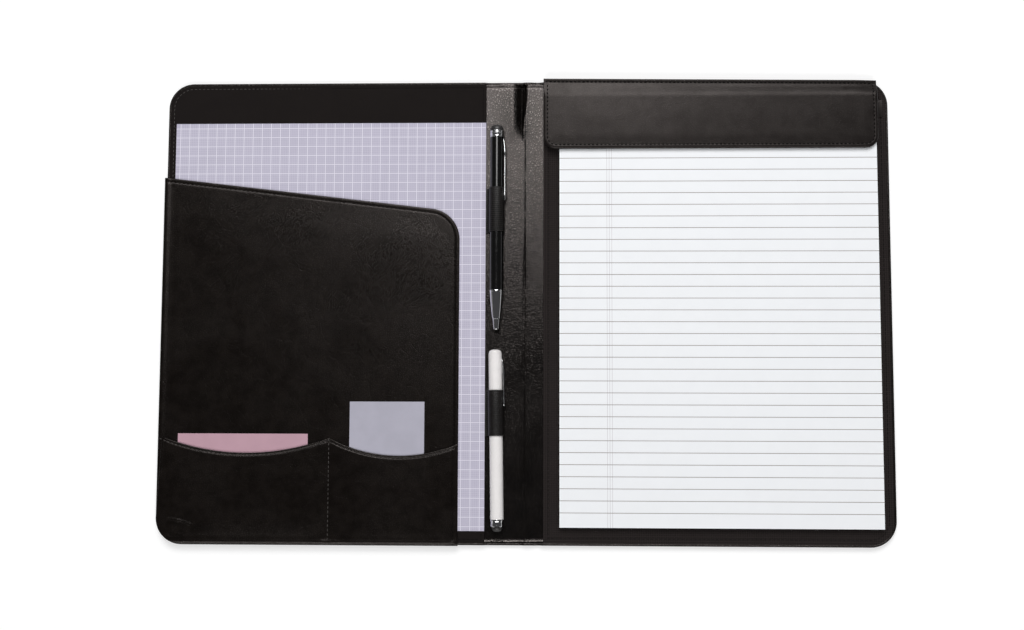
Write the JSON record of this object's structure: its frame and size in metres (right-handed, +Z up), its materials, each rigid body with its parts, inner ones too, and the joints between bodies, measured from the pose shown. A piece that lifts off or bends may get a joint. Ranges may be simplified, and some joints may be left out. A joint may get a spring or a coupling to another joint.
{
  "type": "padfolio",
  "caption": "Open folding document and writing-pad holder with pockets, a pad under a flap, and pens in elastic loops.",
  "frame": {"origin": "middle of the open footprint, on the table, with the page head towards +Y", "axes": "+X across the two covers from left to right, +Y up the page, +Z up from the table"},
  "size_m": [0.4984, 0.3186, 0.0132],
  "materials": {
    "cover_leather": "black grained leather-look",
    "inner_leather": "black grained leather-look with a soft sheen",
    "pocket_leather": "black smooth leather-look",
    "flap_leather": "black padded leather-look",
    "padding": "thin foam",
    "greyboard": "uncoated grey paperboard",
    "lining_fabric": "fine black weave",
    "elastic": "ribbed black woven elastic",
    "pad_paper": "white ruled paper",
    "binding_tape": "cloth tape",
    "squared_paper": "lilac-grey squared paper",
    "pink_card": "uncoated pink card",
    "grey_card": "uncoated grey card",
    "black_lacquer": "gloss",
    "white_lacquer": "gloss",
    "chrome": "polished",
    "dark_chrome": "polished",
    "inner_plastic": "moulded"
  },
  "bodies": {
    "right_cover": {"right_outer_skin": "cover_leather", "right_foam": "padding", "right_board": "greyboard", "right_lining": "lining_fabric", "flap_root": "flap_leather", "pad_strap": "inner_leather"},
    "spine": {"spine_outer_skin": "cover_leather", "spine_stiffener": "greyboard", "spine_inner_skin": "inner_leather"},
    "left_cover": {"left_outer_skin": "cover_leather", "left_foam": "padding", "left_board": "greyboard", "left_lining": "lining_fabric", "pen_strip": "inner_leather", "document_pocket": "pocket_leather", "card_pocket": "pocket_leather", "upper_pen_loop": "elastic", "lower_pen_loop": "elastic"},
    "flap": {"flap_skin": "flap_leather", "flap_board": "greyboard", "flap_backing": "lining_fabric"},
    "pad": {"pad_backing_card": "greyboard", "pad_sheets": "pad_paper", "pad_binding_tape": "binding_tape"},
    "grid_sheet": {"grid_sheet": "squared_paper"},
    "pink_card": {"pink_card": "pink_card"},
    "grey_card": {"grey_card": "grey_card"},
    "black_pen": {"black_pen_crown": "black_lacquer", "black_pen_top_ring": "chrome", "black_pen_upper_barrel": "black_lacquer", "black_pen_clip": "dark_chrome", "black_pen_twist_sleeve": "inner_plastic"},
    "black_pen_lower": {"black_pen_lower_barrel": "black_lacquer", "black_pen_nose": "chrome"},
    "black_pen_refill": {"black_pen_refill_tube": "inner_plastic", "black_pen_refill_point": "chrome"},
    "white_pen": {"white_pen_crown": "chrome", "white_pen_cap": "white_lacquer", "white_pen_clip": "dark_chrome"},
    "white_pen_barrel": {"white_pen_barrel": "white_lacquer", "white_pen_grip": "inner_plastic", "white_pen_point": "chrome", "white_pen_refill": "inner_plastic", "white_pen_end_ring": "chrome", "white_pen_end_plug": "black_lacquer"}
  },
  "joints": [
    {"name": "spine_fold", "type": "hinge", "parent": "right_cover", "child": "spine", "pos_m": [0.01175, 0, 0.0007], "axis": [0, 1, 0], "range_deg": [0, 90]},
    {"name": "cover_fold", "type": "hinge", "parent": "spine", "child": "left_cover", "pos_m": [-0.01025, 0, 0.0007], "axis": [0, 1, 0], "range_deg": [0, 90]},
    {"name": "flap_fold", "type": "hinge", "parent": "right_cover", "child": "flap", "pos_m": [0.1274, 0.1495, 0.0101], "axis": [1, 0, 0], "range_deg": [-160, 0]},
    {"name": "pad_slide", "type": "slide", "parent": "right_cover", "child": "pad", "axis": [0, 1, 0], "range_m": [-0.3, 0]},
    {"name": "sheet_slide", "type": "slide", "parent": "left_cover", "child": "grid_sheet", "axis": [0, -1, 0], "range_m": [-0.28, 0]},
    {"name": "pink_card_slide", "type": "slide", "parent": "left_cover", "child": "pink_card", "axis": [0, -1, 0], "range_m": [-0.05, 0]},
    {"name": "grey_card_slide", "type": "slide", "parent": "left_cover", "child": "grey_card", "axis": [0, -1, 0], "range_m": [-0.066, 0]},
    {"name": "black_pen_slide", "type": "slide", "parent": "left_cover", "child": "black_pen", "axis": [0, -1, 0], "range_m": [-0.105, 0]},
    {"name": "black_pen_twist", "type": "hinge", "parent": "black_pen", "child": "black_pen_lower", "pos_m": [-0.0184, 0.06865, 0.0077], "axis": [0, -1, 0], "range_deg": [0, 180]},
    {"name": "black_refill_slide", "type": "slide", "parent": "black_pen", "child": "black_pen_refill", "axis": [0, -1, 0], "range_m": [0, 0.005]},
    {"name": "white_pen_slide", "type": "slide", "parent": "left_cover", "child": "white_pen", "axis": [0.0148, -0.9999, 0], "range_m": [-0.012, 0]},
    {"name": "white_pen_uncap", "type": "slide", "parent": "white_pen", "child": "white_pen_barrel", "axis": [-0.0148, 0.9999, 0], "range_m": [-0.07, 0]}
  ],
  "couplings": [
    {"joint": "black_refill_slide", "follows": "black_pen_twist", "m_per_rad": 0.00159}
  ]
}
